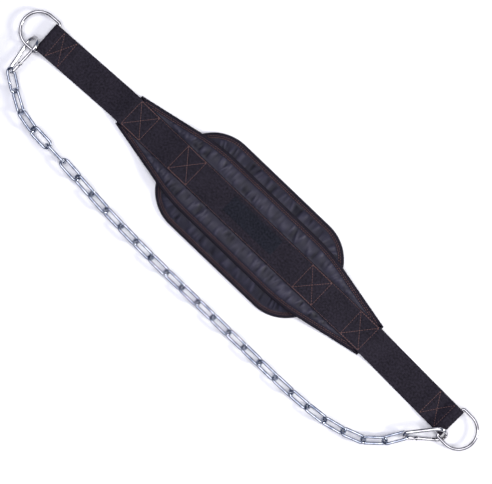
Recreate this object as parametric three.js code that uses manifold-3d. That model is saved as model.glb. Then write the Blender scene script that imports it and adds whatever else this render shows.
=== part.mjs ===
// A dip belt laid out flat, as it lies on a table with its chain in front of it.
// A wide padded back rest carries a tapered padded panel and one long strip of webbing.
// The webbing holds a D ring at each end, and each ring holds a snap hook with a sprung gate.
// A long-link chain runs from hook to hook.
// Millimetres, X along the belt, Y away from the chain, Z up.
// The origin is the middle of the back pad's underside, which lies on the table.

import * as THREE from 'three';
import { mergeVertices } from 'three/addons/utils/BufferGeometryUtils.js';
import Module from 'manifold-3d';

const wasm = await Module();
wasm.setup();

// Clearances between neighbouring pieces
const clearance = 0.35;
const layerGap = 0.4;

// Webbing strap
const webbingWidth = 50;
const webbingThickness = 2.4;
const strapFree = { left: 166, right: 175 };
const strapSkewDegrees = { left: 2.5, right: 1.65 };
const strapSkewStart = { left: -3, right: -20 };
const strapSkewEase = 30;
const slopeSample = 0.5;
const foldBackLength = 48;

// The webbing's way down past the panel's end: where it starts, its knee, and where it lies flat
const dropStart = 2;
const dropKnee = 16;
const dropKneeHeight = 2.6;
const dropEnd = 32;

// Where the webbing climbs onto its own folded end, before the fold's edge
const climbStart = 14;
const climbEnd = 2;

// The fold opens towards the ring at these shares of its length
const foldMiddleShare = 0.55;
const foldMouthShare = 0.2;
const foldMiddleLift = { over: 0.5, under: 0.4 };
const foldMouthDrop = 0.8;

// Front panel, tapered at both ends
const panelLength = 502;
const panelWidth = 114.4;
const panelEndWidth = 58;
const panelTaperLength = 107;
const panelShoulderLength = 62;
const panelRim = 3;
const channelHeight = 7.9;
const channelFromStrap = 1.4;
const channelNarrowest = 4;
const channelShares = [0.2, 0.5, 0.8];
const endSlope = { start: 126, length: 92 };

// Back pad
const padLength = 315;
const padWidth = 165;
const padCornerRadius = 70;
const padRim = 3;
const padCrown = 10;
const padRise = 32;
const crownShares = [0.2, 0.45, 0.75, 1];

// Edge binding, folded round both pads' rims
const bindingWidth = 8.5;
const bindingWall = 1;
const bindingChamfer = 1.3;

// D rings
const ringWire = 5;
const ringSlack = 2;
const ringSide = 18;
const ringCornerRadius = 3.4;
const ringPitchDegrees = { left: 0.5, right: 1 };
const ringHeight = { left: 9.95, right: 11 };

// Snap hooks
const hookWire = 6;
const hookLength = 70;
const hookWideRadius = 13.5;
const hookNarrowRadius = 6.8;
const gateWire = 5.2;
const gateLength = 27.5;
const gatePivotFromEnd = 22.5;
const tongueThickness = 2.1;
const tongueShy = 0.8;
const tongueRoot = 1.5;
const noseTongue = 4.5;
const noseGap = 0.55;
const slotSpare = 1;
const rivetDiameter = 2.4;
const rivetProud = 0.6;

// Chain
const linkWire = 4.5;
const linkWidth = 18.3;
const linkCount = 26;
const linkPlay = 1.05;

// Where each hook's narrow end lies from the middle of its ring's bar, its height over the table,
// the heading and pitch of its long axis, and its roll
const hookPlace = {
  left: { fromBar: [-6.15, -78.8], height: 14.3, heading: 95.4, pitch: 0.1, roll: -53 },
  right: { fromBar: [-38.85, -64.66], height: 12.9, heading: 45.1, pitch: 0.8, roll: 49.5 },
};

// The chain's route between the hooks, chosen by hand as it lies: [share of the way along the belt
// from the left hook's narrow end to the right one's, y, height]
const chainRoute = [
  [0.0336, -99, 11],
  [0.0686, -115, 8.8],
  [0.1036, -120.5, 8.6],
  [0.1437, -122.6, 9.3],
  [0.1837, -124.4, 9.1],
  [0.2449, -128.4, 7.8],
  [0.3049, -132.5, 7.6],
  [0.4262, -136.8, 7.4],
  [0.5487, -137.6, 7.4],
  [0.6725, -138.2, 7.4],
  [0.7963, -138.3, 7.4],
  [0.8789, -133.2, 7.5],
  [0.9176, -125.6, 7.9],
  [0.9551, -114.6, 8.9],
  [0.9851, -92.6, 10.9],
];

// Roll of the links about their own length in degrees. The end links hang square to their hook's
// wire, the ones after the first are listed, as the chain twists there, and the rest lie by turns.
const twistRolls = [-50, 46, -22, -87, 29];
const rollByTurns = 43;

// Smoothness of the faceted solids
const wireSides = 8;
const linkSides = 6;
const pinSides = 12;
const linkArcSteps = 5;
const ringArcSteps = 14;
const ringCornerSteps = 3;
const narrowBendSteps = 8;
const wideBendSteps = 12;
const padCornerSteps = 8;
const tongueSteps = 6;
const foldAngles = [90, 60, 30, 0, -30, -60, -90];

// How finely the chain's route is cut, and how often its spacing and its ends are corrected
const routePoints = 3000;
const spacingTries = 50;
const hangingTries = 8;

const deg = THREE.MathUtils.degToRad;
const clamp = THREE.MathUtils.clamp;
const zUp = new THREE.Vector3(0, 0, 1);
const right = Math.PI / 2;
const wrapDepth = bindingWall + clearance;
const bindingLip = bindingWidth + layerGap;
const panelRaised = padCrown + layerGap;
const panelTaperSlope = (panelWidth - panelEndWidth) / 2 / (panelTaperLength + panelShoulderLength / 2);
const loopRadius = ringWire / 2 + clearance + webbingThickness / 2;
const pivotSwing = Math.hypot(gateWire / 2, gateWire / 2) + 2 * clearance;
const tongueHeight = gateWire - tongueShy;
const rivetHole = rivetDiameter + 2 * clearance;
const pinHoleLength = 2 * hookWire;

// Colours, roughness and metalness of the materials
const finishes = {
  webbing: { color: 0x26242e, roughness: 0.9, metalness: 0 },
  panelCloth: { color: 0x30313d, roughness: 0.6, metalness: 0 },
  padCloth: { color: 0x2c2d39, roughness: 0.6, metalness: 0 },
  binding: { color: 0x1c1a20, roughness: 0.85, metalness: 0 },
  nickel: { color: 0xc4c3c8, roughness: 0.22, metalness: 1 },
  zinc: { color: 0xb9bfd0, roughness: 0.3, metalness: 1 },
};

// A closed body from its corner points and triangles, with its faces turned outwards
function solid(points, triangles) {
  const geometry = new THREE.BufferGeometry();
  geometry.setFromPoints(points);
  const sixfoldVolume = triangles.reduce((sum, [a, b, c]) => {
    return sum + points[a].dot(new THREE.Vector3().crossVectors(points[b], points[c]));
  }, 0);
  const outward = sixfoldVolume > 0 ? triangles : triangles.map(([a, b, c]) => [a, c, b]);
  geometry.setIndex(outward.flat());
  geometry.computeVertexNormals();
  return geometry;
}

// Rings of points joined one to the next. The row of rings closes on itself or ends in two flat caps.
function loft(rings, closed = false) {
  const sides = rings[0].length;
  const points = rings.flat();
  const triangles = [];
  const spans = closed ? rings.length : rings.length - 1;
  for (let i = 0; i < spans; i++) {
    const here = i * sides;
    const next = ((i + 1) % rings.length) * sides;
    for (let j = 0; j < sides; j++) {
      const k = (j + 1) % sides;
      triangles.push([here + j, next + j, next + k], [here + j, next + k, here + k]);
    }
  }
  if (!closed) {
    const last = (rings.length - 1) * sides;
    for (let j = 1; j < sides - 1; j++) {
      triangles.push([0, j, j + 1], [last, last + j + 1, last + j]);
    }
  }
  return solid(points, triangles);
}

// A section carried along a path that runs level or nearly so. Each section point is [across, up].
// Corners are mitred, so the section keeps its width round them.
function sweep(path, section, closed = false) {
  const last = path.length - 1;
  const step = (i) => path[(i + 1) % path.length].clone().sub(path[i]).normalize();
  const rings = path.map((point, i) => {
    const leaving = closed || i < last ? step(i) : step(last - 1);
    const arriving = i > 0 ? step(i - 1) : closed ? step(last) : leaving;
    const along = arriving.clone().add(leaving).normalize();
    const across = new THREE.Vector3().crossVectors(along, zUp).normalize();
    const rise = new THREE.Vector3().crossVectors(across, along);
    const flatArriving = arriving.clone().setZ(0).normalize();
    const mitre = 1 / flatArriving.dot(along.clone().setZ(0).normalize());
    return section.map(([a, b]) => {
      return point.clone().addScaledVector(across, a * mitre).addScaledVector(rise, b);
    });
  });
  return loft(rings, closed);
}

// A regular section for round wire
function wireSection(diameter, sides) {
  return Array.from({ length: sides }, (_, i) => {
    const angle = (2 * Math.PI * (i + 0.5)) / sides;
    return [(diameter / 2) * Math.cos(angle), (diameter / 2) * Math.sin(angle)];
  });
}

// Points of a circular arc in the XY plane
function arc(x, y, radius, from, to, steps) {
  return Array.from({ length: steps + 1 }, (_, i) => {
    const angle = from + ((to - from) * i) / steps;
    return new THREE.Vector3(x + radius * Math.cos(angle), y + radius * Math.sin(angle), 0);
  });
}

// A three.js geometry as a manifold, with its shared corners merged
function manifoldOf(geometry) {
  const bare = geometry.clone();
  bare.deleteAttribute('normal');
  bare.deleteAttribute('uv');
  const merged = mergeVertices(bare);
  return new wasm.Manifold(new wasm.Mesh({
    numProp: 3,
    vertProperties: merged.attributes.position.array,
    triVerts: new Uint32Array(merged.index.array),
  }));
}

// A manifold as a three.js geometry
function geometryOf(manifold) {
  const mesh = manifold.getMesh();
  const geometry = new THREE.BufferGeometry();
  geometry.setAttribute('position', new THREE.BufferAttribute(new Float32Array(mesh.vertProperties), 3));
  geometry.setIndex(new THREE.BufferAttribute(new Uint32Array(mesh.triVerts), 1));
  geometry.computeVertexNormals();
  return geometry;
}

// A value that eases from 1 to 0 as t goes from 0 to 1
function fall(t) {
  return 0.5 * (1 + Math.cos(Math.PI * clamp(t, 0, 1)));
}

// The level that the front panel lies at, over the pad and then down to the table
function panelLevel(x) {
  const lowered = (Math.abs(x) - endSlope.start) / endSlope.length;
  return clearance + (panelRaised - clearance) * fall(lowered);
}

// How far a place along the belt is into the panel's shoulder, where the taper eases out
function intoShoulder(x) {
  return clamp(panelLength / 2 - Math.abs(x) - panelTaperLength, 0, panelShoulderLength);
}

// Half the front panel's width: straight tapers, eased into the full width
function panelHalfWidth(x) {
  const taper = Math.min(panelLength / 2 - Math.abs(x), panelTaperLength);
  const shoulder = intoShoulder(x);
  const eased = shoulder - (shoulder * shoulder) / (2 * panelShoulderLength);
  return panelEndWidth / 2 + panelTaperSlope * (taper + eased);
}

// How much longer a distance square to the panel's edge is when it is taken across the belt
function edgeStretch(x) {
  return Math.hypot(1, panelTaperSlope * (1 - intoShoulder(x) / panelShoulderLength));
}

// Half the width between two lines drawn inside the panel's edges by a distance square to them
function panelInset(x, distance) {
  return panelHalfWidth(x) - distance * edgeStretch(x);
}

// The folded binding's section: an upright U round a rim, open towards the pad
function bindingSection(rim) {
  const half = rim / 2 + wrapDepth;
  const inner = half - bindingWall;
  return [
    [-bindingWidth, half],
    [-bindingChamfer, half],
    [0, half - bindingChamfer],
    [0, -half + bindingChamfer],
    [-bindingChamfer, -half],
    [-bindingWidth, -half],
    [-bindingWidth, -inner],
    [-bindingWall, -inner],
    [-bindingWall, inner],
    [-bindingWidth, inner],
  ];
}

// The back pad's outline, drawn in by a distance
function padOutline(inset, z) {
  const radius = padCornerRadius - inset;
  const x = padLength / 2 - padCornerRadius;
  const y = padWidth / 2 - padCornerRadius;
  const corners = [[x, y, 0], [-x, y, 1], [-x, -y, 2], [x, -y, 3]];
  const outline = corners.flatMap(([cx, cy, turn]) => {
    return arc(cx, cy, radius, turn * right, (turn + 1) * right, padCornerSteps);
  });
  return outline.map((p) => p.setZ(z));
}

// The back pad: a thin rim inside the binding, rising to a plump middle
function backPad() {
  const rimTop = wrapDepth + padRim;
  const crown = crownShares.map((share) => {
    const height = rimTop + (padCrown - rimTop) * Math.sin(share * right);
    return padOutline(bindingLip + (padRise - bindingLip) * share, height);
  });
  return loft([
    padOutline(padRise, 0),
    padOutline(bindingLip + wrapDepth, 0),
    padOutline(bindingLip, wrapDepth),
    padOutline(wrapDepth, wrapDepth),
    padOutline(wrapDepth, rimTop),
    padOutline(bindingLip, rimTop),
    ...crown,
  ]);
}

// The tape round the back pad's rim
function backPadBinding() {
  const middle = wrapDepth + padRim / 2;
  return sweep(padOutline(0, middle), bindingSection(padRim), true);
}

// Shares of the panel's half length at which its sections lie, close together where it changes
const panelSections = [0, 0.14, 0.27, 0.38, 0.48, 0.56, 0.63, 0.7, 0.77, 0.85, 0.92];

// Where the panel's full thickness meets the binding's lip at each end
function panelLipStation() {
  return panelLength / 2 - bindingLip;
}

// Stations along the panel from end to end, with the rim inside the binding at both ends
function panelStations() {
  const lip = panelLipStation();
  const full = lip - wrapDepth;
  const shared = panelSections.map((share) => share * full);
  const outwards = [...shared, full, lip, panelLength / 2 - wrapDepth];
  const mirrored = outwards.slice(1).reverse().map((x) => -x);
  return [...mirrored, ...outwards];
}

// Heights of one point of the front panel above its level: [underside, top]
function panelHeights(x, y) {
  const toSide = (panelHalfWidth(x) - Math.abs(y)) / edgeStretch(x);
  const toEnd = panelLength / 2 - Math.abs(x);
  const rimTop = wrapDepth + panelRim;
  const pressed = rimTop + wrapDepth;
  const inside = clamp((Math.min(toSide, toEnd) - bindingLip) / wrapDepth, 0, 1);
  const channelStart = webbingWidth / 2 + channelFromStrap;
  const channelWidth = panelInset(x, bindingLip) - channelStart;
  const wide = clamp((channelWidth - channelNarrowest) / bindingWidth, 0, 1);
  const across = wide > 0 ? clamp((Math.abs(y) - channelStart) / channelWidth, 0, 1) : 0;
  const puff = Math.sin(Math.PI * across) * wide * (channelHeight - pressed);
  return [wrapDepth * (1 - inside), rimTop + (wrapDepth + puff) * inside];
}

// The tapered front panel: pressed flat under the webbing, with a soft channel on each side of it
function frontPanel() {
  const rows = panelStations().map((x) => {
    const inner = panelInset(x, bindingLip + wrapDepth);
    const channelStart = Math.min(webbingWidth / 2 + channelFromStrap, inner - layerGap);
    const channel = channelShares.map((share) => channelStart + (inner - channelStart) * share);
    const half = [0, channelStart, ...channel, inner, panelInset(x, bindingLip), panelInset(x, wrapDepth)];
    const across = [...half.slice(1).reverse().map((y) => -y), ...half];
    const level = panelLevel(x);
    const top = across.map((y) => new THREE.Vector3(x, y, level + panelHeights(x, y)[1]));
    const under = across.map((y) => new THREE.Vector3(x, y, level + panelHeights(x, y)[0]));
    return [top, under];
  });
  return slab(rows);
}

// A closed body between a grid of upper points and a grid of lower ones
function slab(rows) {
  const wide = rows[0][0].length;
  const points = [...rows.flatMap(([top]) => top), ...rows.flatMap(([, under]) => under)];
  const lower = rows.length * wide;
  const triangles = [];
  const quad = (a, b, c, d) => triangles.push([a, b, c], [a, c, d]);
  for (let i = 0; i < rows.length - 1; i++) {
    const a = i * wide;
    const b = a + wide;
    for (let j = 0; j < wide - 1; j++) {
      quad(a + j, b + j, b + j + 1, a + j + 1);
      quad(lower + a + j, lower + a + j + 1, lower + b + j + 1, lower + b + j);
    }
    quad(a, lower + a, lower + b, b);
    quad(a + wide - 1, b + wide - 1, lower + b + wide - 1, lower + a + wide - 1);
  }
  const last = (rows.length - 1) * wide;
  for (let j = 0; j < wide - 1; j++) {
    quad(j, j + 1, lower + j + 1, lower + j);
    quad(last + j, lower + last + j, lower + last + j + 1, last + j + 1);
  }
  return solid(points, triangles);
}

// The tape round the front panel's rim, along both long edges and across both ends. It is made flat
// and then raised to the panel's level at each place.
function frontPanelBinding() {
  const half = panelLength / 2;
  const inner = panelStations().filter((x) => Math.abs(x) < panelLipStation());
  const stations = [-half, ...inner, half];
  const middle = wrapDepth + panelRim / 2;
  const away = stations.map((x) => new THREE.Vector3(x, panelHalfWidth(x), middle));
  const near = stations.map((x) => new THREE.Vector3(x, -panelHalfWidth(x), middle));
  const tape = sweep([...near, ...away.reverse()], bindingSection(panelRim), true);
  const corners = tape.attributes.position;
  for (let i = 0; i < corners.count; i++) {
    corners.setZ(i, corners.getZ(i) + panelLevel(corners.getX(i)));
  }
  tape.computeVertexNormals();
  return tape;
}

// How far the webbing's middle has strayed towards the chain
function strapStray(x) {
  const side = x < 0 ? 'left' : 'right';
  const past = Math.max(Math.abs(x) - panelLength / 2 - strapSkewStart[side], 0);
  const eased = Math.min(past, strapSkewEase);
  const run = (eased * eased) / (2 * strapSkewEase) + past - eased;
  return -Math.tan(deg(strapSkewDegrees[side])) * run;
}

// Middle of the bar of each D ring, which the webbing's end folds round
function ringBar(side) {
  const sign = side === 'left' ? -1 : 1;
  const x = sign * (panelLength / 2 + strapFree[side] - loopRadius - webbingThickness / 2);
  return new THREE.Vector3(x, strapStray(x), ringHeight[side]);
}

// Height of the webbing's middle line where it lies on the front panel
function strapOverPanel(x) {
  return panelLevel(x) + 2 * wrapDepth + panelRim + layerGap + webbingThickness / 2;
}

// Half of the webbing's middle line, from the middle of the belt out, round the bar and back
function strapHalf(side) {
  const sign = side === 'left' ? -1 : 1;
  const bar = ringBar(side);
  const low = webbingThickness / 2;
  const over = panelStations().filter((x) => x > 0).map((x) => [x, strapOverPanel(x)]);
  const end = panelLength / 2;
  const reach = Math.abs(bar.x);
  const overlap = foldBackLength - loopRadius;
  const foldEdge = reach - overlap;
  const foldMiddle = reach - overlap * foldMiddleShare;
  const foldMouth = reach - overlap * foldMouthShare;
  const stacked = low + webbingThickness + layerGap;
  const outward = [
    ...over,
    [end + dropStart, strapOverPanel(end)],
    [end + dropKnee, low + dropKneeHeight],
    [end + dropEnd, low],
    [foldEdge - climbStart, low],
    [foldEdge - climbEnd, stacked],
    [foldMiddle, stacked + foldMiddleLift.over],
    [foldMouth, bar.z + loopRadius - foldMouthDrop],
  ];
  const loop = foldAngles.map((a) => [
    reach + loopRadius * Math.cos(deg(a)),
    bar.z + loopRadius * Math.sin(deg(a)),
  ]);
  const back = [
    [foldMouth, bar.z - loopRadius - foldMouthDrop],
    [foldMiddle, low + foldMiddleLift.under],
    [foldEdge, low],
  ];
  return [...outward, ...loop, ...back].map(([x, z]) => [sign * x, z]);
}

// Across the webbing at a station, square to the line that its middle follows
function strapAcross(x) {
  const slope = (strapStray(x + slopeSample) - strapStray(x - slopeSample)) / (2 * slopeSample);
  return new THREE.Vector3(-slope, 1, 0).normalize();
}

// One strip of webbing over the whole belt, folded back under itself at both ends
function webbingStrap() {
  const middle = [0, strapOverPanel(0)];
  const line = [...strapHalf('left').reverse(), middle, ...strapHalf('right')];
  const rings = line.map(([x, z], i) => {
    const [x0, z0] = line[Math.max(i - 1, 0)];
    const [x1, z1] = line[Math.min(i + 1, line.length - 1)];
    const length = Math.hypot(x1 - x0, z1 - z0);
    const nx = (-(z1 - z0) / length) * (webbingThickness / 2);
    const nz = ((x1 - x0) / length) * (webbingThickness / 2);
    const half = strapAcross(x).multiplyScalar(webbingWidth / 2);
    const upper = new THREE.Vector3(x + nx, strapStray(x), z + nz);
    const lower = new THREE.Vector3(x - nx, strapStray(x), z - nz);
    return [
      upper.clone().sub(half),
      upper.clone().add(half),
      lower.clone().add(half),
      lower.clone().sub(half),
    ];
  });
  return loft(rings);
}

// A D ring: a straight bar inside the webbing's fold, two short sides and a half circle
function dRing(side) {
  const halfWidth = (webbingWidth + ringSlack + ringWire) / 2;
  const corner = ringCornerRadius;
  const path = [
    ...arc(ringSide, 0, halfWidth, -right, right, ringArcSteps),
    ...arc(corner, halfWidth - corner, corner, right, 2 * right, ringCornerSteps),
    ...arc(corner, corner - halfWidth, corner, 2 * right, 3 * right, ringCornerSteps),
  ];
  return sweep(path, wireSection(ringWire, wireSides), true);
}

// Middle line of a hook in its own plane: X along it from the narrow end, Y towards the back leg
function hookFrame() {
  const narrow = hookWire / 2 + hookNarrowRadius;
  const wide = hookLength - hookWire / 2 - hookWideRadius;
  const lean = Math.asin((hookWideRadius - hookNarrowRadius) / (wide - narrow));
  const legStart = new THREE.Vector3(
    narrow - hookNarrowRadius * Math.sin(lean),
    -hookNarrowRadius * Math.cos(lean),
    0,
  );
  const along = new THREE.Vector3(Math.cos(lean), -Math.sin(lean), 0);
  const pivot = legStart.clone().addScaledVector(along, (gatePivotFromEnd - legStart.x) / along.x);
  return { narrow, wide, lean, along, pivot };
}

// A flat tongue on the end of a hook's wire, in the hook's plane, which the slotted gate straddles
function tongue(from, along, reach, height) {
  const shape = new THREE.Shape();
  const half = height / 2;
  shape.moveTo(0, -half);
  shape.lineTo(reach - half, -half);
  shape.absarc(reach - half, 0, half, -right, right, false);
  shape.lineTo(0, half);
  const plate = new THREE.ExtrudeGeometry(shape, {
    depth: tongueThickness,
    bevelEnabled: false,
    curveSegments: tongueSteps,
  });
  plate.translate(0, 0, -tongueThickness / 2);
  plate.rotateZ(Math.atan2(along.y, along.x));
  plate.translate(from.x, from.y, from.z);
  return plate;
}

// A pin standing across the hook's plane, for the rivet and for its holes
function pinAt(point, diameter, length) {
  const pin = new THREE.CylinderGeometry(diameter / 2, diameter / 2, length, pinSides);
  pin.rotateX(right);
  pin.translate(point.x, point.y, 0);
  return pin;
}

// The hook: one bent wire from the gate's pivot round the narrow end, the back leg and the wide end
function hookBody() {
  const { narrow, wide, lean, along, pivot } = hookFrame();
  const wireStart = pivot.clone().addScaledVector(along, -pivotSwing);
  const noseFace = pivot.clone().addScaledVector(along, gateLength + noseGap);
  const path = [
    wireStart,
    ...arc(narrow, 0, hookNarrowRadius, -right - lean, -3 * right + lean, narrowBendSteps),
    ...arc(wide, 0, hookWideRadius, right + lean, -right - lean, wideBendSteps),
    noseFace,
  ];
  const wire = manifoldOf(sweep(path, wireSection(hookWire, wireSides)));
  const pivotPlate = tongue(
    wireStart.clone().addScaledVector(along, -tongueRoot),
    along,
    tongueRoot + pivotSwing + tongueHeight / 2,
    tongueHeight,
  );
  const nosePlate = tongue(
    noseFace.clone().addScaledVector(along, tongueRoot),
    along.clone().negate(),
    tongueRoot + noseTongue,
    tongueHeight,
  );
  const hole = manifoldOf(pinAt(pivot, rivetHole, pinHoleLength));
  return geometryOf(wire.add(manifoldOf(pivotPlate)).add(manifoldOf(nosePlate)).subtract(hole));
}

// The gate: a straight rod slotted at both ends, over the pivot's tongue and the nose's tongue
function hookGate() {
  const { along, pivot } = hookFrame();
  const tail = gateWire / 2;
  const start = pivot.clone().addScaledVector(along, -tail);
  const end = pivot.clone().addScaledVector(along, gateLength);
  const rod = manifoldOf(sweep([start, end], wireSection(gateWire, wireSides)));
  const slotWidth = tongueThickness + 2 * clearance;
  const slotAt = (from, to) => {
    const slot = new THREE.BoxGeometry(to - from, 2 * gateWire, slotWidth);
    slot.translate((from + to) / 2, 0, 0);
    slot.rotateZ(Math.atan2(along.y, along.x));
    slot.translate(pivot.x, pivot.y, 0);
    return manifoldOf(slot);
  };
  const pivotSlot = slotAt(-gateWire, pivotSwing + slotSpare);
  const noseSlot = slotAt(gateLength - noseTongue - slotSpare, gateLength + gateWire);
  const hole = manifoldOf(pinAt(pivot, rivetHole, pinHoleLength));
  return geometryOf(rod.subtract(pivotSlot).subtract(noseSlot).subtract(hole));
}

// The rivet that the gate turns on, standing a little proud on both sides
function gateRivet() {
  return pinAt(hookFrame().pivot, rivetDiameter, gateWire + 2 * rivetProud);
}

// Where a hook's narrow end lies
function hookTip(side) {
  const [x, y] = hookPlace[side].fromBar;
  const bar = ringBar(side);
  return new THREE.Vector3(bar.x + x, bar.y + y, hookPlace[side].height);
}

// Rotation of a hook from its own plane to where it lies
function hookTurn(place) {
  const heading = new THREE.Matrix4().makeRotationZ(deg(place.heading));
  const pitch = new THREE.Matrix4().makeRotationY(deg(-place.pitch));
  const roll = new THREE.Matrix4().makeRotationX(deg(place.roll));
  return heading.multiply(pitch).multiply(roll);
}

// How an end link hangs in a hook's narrow end when it leaves towards a point: the joint between
// them, and the direction of the hook's wire there
function hookEye(side, towards) {
  const turn = hookTurn(hookPlace[side]);
  const square = zUp.clone().applyMatrix4(turn);
  const centre = new THREE.Vector3(hookFrame().narrow, 0, 0).applyMatrix4(turn).add(hookTip(side));
  const joint = centre.clone();
  const wire = new THREE.Vector3();
  for (let i = 0; i < hangingTries; i++) {
    const leaving = towards.clone().sub(joint).normalize();
    const inPlane = leaving.clone().projectOnPlane(square).normalize();
    joint.copy(centre).addScaledVector(inPlane, hookNarrowRadius);
    joint.addScaledVector(leaving, -(hookWire + linkPlay) / 2);
    wire.crossVectors(square, inPlane);
  }
  return { joint, wire };
}

// Joints between links, spaced so that the links just fill the route
function chainJoints() {
  const from = hookTip('left').x;
  const to = hookTip('right').x;
  const chosen = chainRoute.map(([share, y, z]) => new THREE.Vector3(from + (to - from) * share, y, z));
  const first = hookEye('left', chosen[0]);
  const last = hookEye('right', chosen.at(-1));
  const points = [first.joint, ...chosen, last.joint];
  const route = new THREE.CatmullRomCurve3(points, false, 'centripetal');
  const line = route.getSpacedPoints(routePoints);
  const evenPitch = route.getLength() / linkCount;
  const step = (pitch) => {
    const joints = [line[0]];
    for (const point of line) {
      if (point.distanceTo(joints.at(-1)) >= pitch) {
        joints.push(point);
      }
    }
    return joints;
  };
  let low = evenPitch / 2;
  let high = evenPitch * 2;
  for (let i = 0; i < spacingTries; i++) {
    const middle = (low + high) / 2;
    if (step(middle).length > linkCount) {
      low = middle;
    } else {
      high = middle;
    }
  }
  const joints = step(low).slice(0, linkCount);
  return { joints: [...joints, line.at(-1)], wires: [first.wire, last.wire] };
}

// One link: two half circles joined by straight sides, lying in the XY plane along X
function chainLink(length) {
  const radius = (linkWidth - linkWire) / 2;
  const reach = length / 2 - radius;
  const path = [
    ...arc(reach, 0, radius, -right, right, linkArcSteps),
    ...arc(-reach, 0, radius, right, 3 * right, linkArcSteps),
  ];
  return sweep(path, wireSection(linkWire, linkSides), true);
}

// The belt's group and its named pieces
const belt = new THREE.Group();

function material(name) {
  return new THREE.MeshStandardMaterial(finishes[name]);
}

function add(name, geometry, finish, group = belt) {
  const mesh = new THREE.Mesh(geometry, material(finish));
  mesh.name = name;
  group.add(mesh);
  return mesh;
}

// Cloth and webbing
add('back_pad', backPad(), 'padCloth');
add('back_pad_binding', backPadBinding(), 'binding');
add('front_panel', frontPanel(), 'panelCloth');
add('front_panel_binding', frontPanelBinding(), 'binding');
add('webbing_strap', webbingStrap(), 'webbing');

// Rings and hooks at both ends
for (const side of ['left', 'right']) {
  const bar = ringBar(side);
  const ring = add(`d_ring_${side}`, dRing(side), 'nickel');
  const outward = side === 'left' ? Math.PI + deg(strapSkewDegrees.left) : -deg(strapSkewDegrees.right);
  ring.rotation.set(0, deg(ringPitchDegrees[side]), outward, 'ZYX');
  ring.position.copy(bar);

  const hook = new THREE.Group();
  hook.applyMatrix4(hookTurn(hookPlace[side]));
  hook.position.copy(hookTip(side));
  belt.add(hook);
  add(`snap_hook_${side}`, hookBody(), 'nickel', hook);
  add(`snap_hook_gate_${side}`, hookGate(), 'nickel', hook);
  add(`gate_rivet_${side}`, gateRivet(), 'nickel', hook);
}

// Roll that turns a link's plane square to a wire
function rollSquareTo(wire, along) {
  const left = new THREE.Vector3().crossVectors(zUp, along).normalize();
  const above = new THREE.Vector3().crossVectors(along, left).normalize();
  const sign = Math.sign(wire.dot(above));
  return THREE.MathUtils.radToDeg(Math.atan2(sign * wire.dot(left), sign * wire.dot(above)));
}

// The chain, link by link from the left hook
const { joints, wires } = chainJoints();
for (let i = 0; i < linkCount; i++) {
  const along = joints[i + 1].clone().sub(joints[i]);
  const length = along.length() + linkPlay + linkWire;
  const name = `chain_link_${String(i + 1).padStart(2, '0')}`;
  const link = add(name, chainLink(length), 'zinc');
  let roll = twistRolls[i - 1] ?? (i % 2 ? rollByTurns : -rollByTurns);
  if (i === 0 || i === linkCount - 1) {
    roll = rollSquareTo(wires[i ? 1 : 0], along);
  }
  const heading = Math.atan2(along.y, along.x);
  const rise = Math.asin(along.z / along.length());
  link.rotation.set(deg(-roll), -rise, heading, 'ZYX');
  link.position.copy(joints[i]).add(joints[i + 1]).multiplyScalar(0.5);
}

export default belt;
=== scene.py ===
"""A dip belt laid flat on a white table, seen from straight above.

A padded back rest and a tapered padded panel carry one strip of webbing. The webbing holds a D ring
at each end, each ring holds a snap hook with a sprung gate, and a long-link chain joins the hooks.
Shapes are worked out in millimetres in the model's own frame: X along the belt, Y away from the
chain, Z up from the table. They go into the meshes as metres.
"""

import math

import bmesh
import bpy
import numpy as np
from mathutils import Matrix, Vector


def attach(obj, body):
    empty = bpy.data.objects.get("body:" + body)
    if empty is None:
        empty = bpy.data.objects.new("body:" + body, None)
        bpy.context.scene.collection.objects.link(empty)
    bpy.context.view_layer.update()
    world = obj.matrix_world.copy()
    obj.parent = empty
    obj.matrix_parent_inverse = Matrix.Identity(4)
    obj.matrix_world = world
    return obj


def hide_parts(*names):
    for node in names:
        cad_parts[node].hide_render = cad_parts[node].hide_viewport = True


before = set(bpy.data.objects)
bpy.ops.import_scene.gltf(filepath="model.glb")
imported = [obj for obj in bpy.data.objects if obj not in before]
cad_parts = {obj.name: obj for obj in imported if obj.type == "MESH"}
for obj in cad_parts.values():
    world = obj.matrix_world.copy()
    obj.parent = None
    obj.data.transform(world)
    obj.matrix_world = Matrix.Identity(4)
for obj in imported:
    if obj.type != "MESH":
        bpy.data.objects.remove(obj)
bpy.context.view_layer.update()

MM = 0.001

# Sizes of the belt, as its solids have them
CLEARANCE = 0.35
LAYER_GAP = 0.4
WEBBING_WIDTH = 50.0
WEBBING_THICKNESS = 2.4
STRAP_FREE = {"left": 166.0, "right": 175.0}
STRAP_SKEW = {"left": math.tan(math.radians(2.5)), "right": math.tan(math.radians(1.65))}
STRAP_SKEW_START = {"left": -3.0, "right": -20.0}
STRAP_SKEW_EASE = 30.0
FOLD_BACK = 48.0

PANEL_LENGTH = 502.0
PANEL_WIDTH = 114.4
PANEL_END_WIDTH = 58.0
PANEL_TAPER = 107.0
PANEL_SHOULDER = 62.0
PANEL_SLOPE = (PANEL_WIDTH - PANEL_END_WIDTH) / 2 / (PANEL_TAPER + PANEL_SHOULDER / 2)
CHANNEL_HEIGHT = 7.9
CHANNEL_FROM_STRAP = 1.4
CHANNEL_NARROWEST = 4.0
END_SLOPE_START = 126.0
END_SLOPE_LENGTH = 92.0

PAD_LENGTH = 315.0
PAD_WIDTH = 165.0
PAD_CORNER = 70.0
PAD_CROWN = 10.0
PAD_RISE = 32.0
RIM = 3.0

TAPE_WIDTH = 8.5
TAPE_WALL = 1.0
WRAP = TAPE_WALL + CLEARANCE
TAPE_TOP = WRAP + RIM + WRAP
TAPE_LIP = TAPE_WIDTH + LAYER_GAP

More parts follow.
